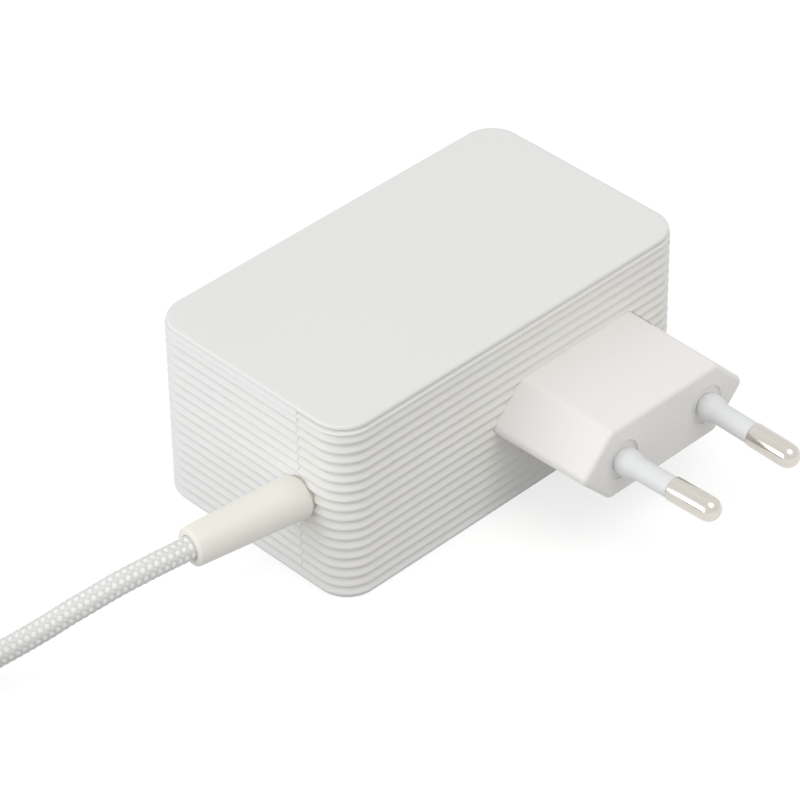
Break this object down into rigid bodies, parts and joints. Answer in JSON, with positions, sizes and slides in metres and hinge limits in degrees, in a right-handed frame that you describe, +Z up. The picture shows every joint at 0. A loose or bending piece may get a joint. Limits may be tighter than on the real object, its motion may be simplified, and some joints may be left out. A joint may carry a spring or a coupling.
{
  "type": "laptop power adapter",
  "caption": "White ribbed mains adapter with a fixed two-pin plug on one long side and a braided low-voltage lead that ends in a round barrel connector.",
  "frame": {"origin": "centre of the housing's underside, on the surface it stands on", "axes": "+Z up; the mains plug points along -Y; the lead leaves through the -X end"},
  "size_m": [0.2126, 0.087, 0.033],
  "materials": {
    "housing_white": "matte white moulded plastic with fine horizontal ribs",
    "plug_white": "satin white moulded plastic",
    "sleeve_white": "smooth white insulating sleeve",
    "strain_relief_ivory": "satin ivory elastomer",
    "cord_braid": "white and pale grey woven braid",
    "tie_grey": "grey hook-and-loop strap",
    "pin_nickel": "drawn nickel-plated brass",
    "contact_brass": "stamped brass",
    "connector_white": "satin white moulded plastic",
    "connector_metal": "nickel-plated barrel",
    "connector_black": "black insulator",
    "lead_red": "red insulation",
    "lead_black": "black insulation",
    "board_green": "green solder mask",
    "film_clear": "folded insulating film",
    "aluminium_sheet": "plain aluminium sheet",
    "pad_blue": "soft heat-conducting pad",
    "fuse_brown": "brown moulded case",
    "thermistor_green": "dark green coating",
    "x_cap_yellow": "yellow case",
    "y_cap_blue": "blue coating",
    "ferrite_grey": "dark grey ferrite",
    "wire_copper": "enamelled copper wire",
    "winding_tape": "yellow winding tape",
    "component_black": "black moulded component",
    "capacitor_navy": "dark sleeve over an aluminium can",
    "capacitor_silver": "bare aluminium can",
    "resistor_tan": "tan coating"
  },
  "bodies": {
    "root": {"rear_case": "housing_white", "front_cover": "housing_white", "plug_body": "plug_white", "pin_left": "pin_nickel", "pin_right": "pin_nickel", "pin_sleeve_left": "sleeve_white", "pin_sleeve_right": "sleeve_white", "mains_contact_left": "contact_brass", "mains_contact_right": "contact_brass", "strain_relief": "strain_relief_ivory", "cord": "cord_braid", "cord_coil": "cord_braid", "cord_tail": "cord_braid", "cord_tie": "tie_grey", "connector_grip": "connector_white", "connector_barrel": "connector_metal", "connector_insulator": "connector_black", "connector_contact": "contact_brass", "lead_positive": "lead_red", "lead_negative": "lead_black", "main_board": "board_green", "insulating_sheet": "film_clear", "heat_spreader": "aluminium_sheet", "thermal_pad": "pad_blue", "fuse": "fuse_brown", "inrush_thermistor": "thermistor_green", "x_capacitor": "x_cap_yellow", "choke_core": "ferrite_grey", "choke_windings": "wire_copper", "bridge_rectifier": "component_black", "bulk_capacitor": "capacitor_navy", "transformer_core": "ferrite_grey", "transformer_bobbin": "component_black", "transformer_winding": "winding_tape", "switching_transistor": "component_black", "primary_heatsink": "aluminium_sheet", "y_capacitor": "y_cap_blue", "optocoupler": "component_black", "controller_chip": "component_black", "supply_capacitor": "capacitor_navy", "snubber_resistor": "resistor_tan", "output_rectifier": "component_black", "output_heatsink": "aluminium_sheet", "output_capacitor_front": "capacitor_silver", "output_capacitor_rear": "capacitor_silver", "output_choke": "ferrite_grey"}
  },
  "joints": []
}
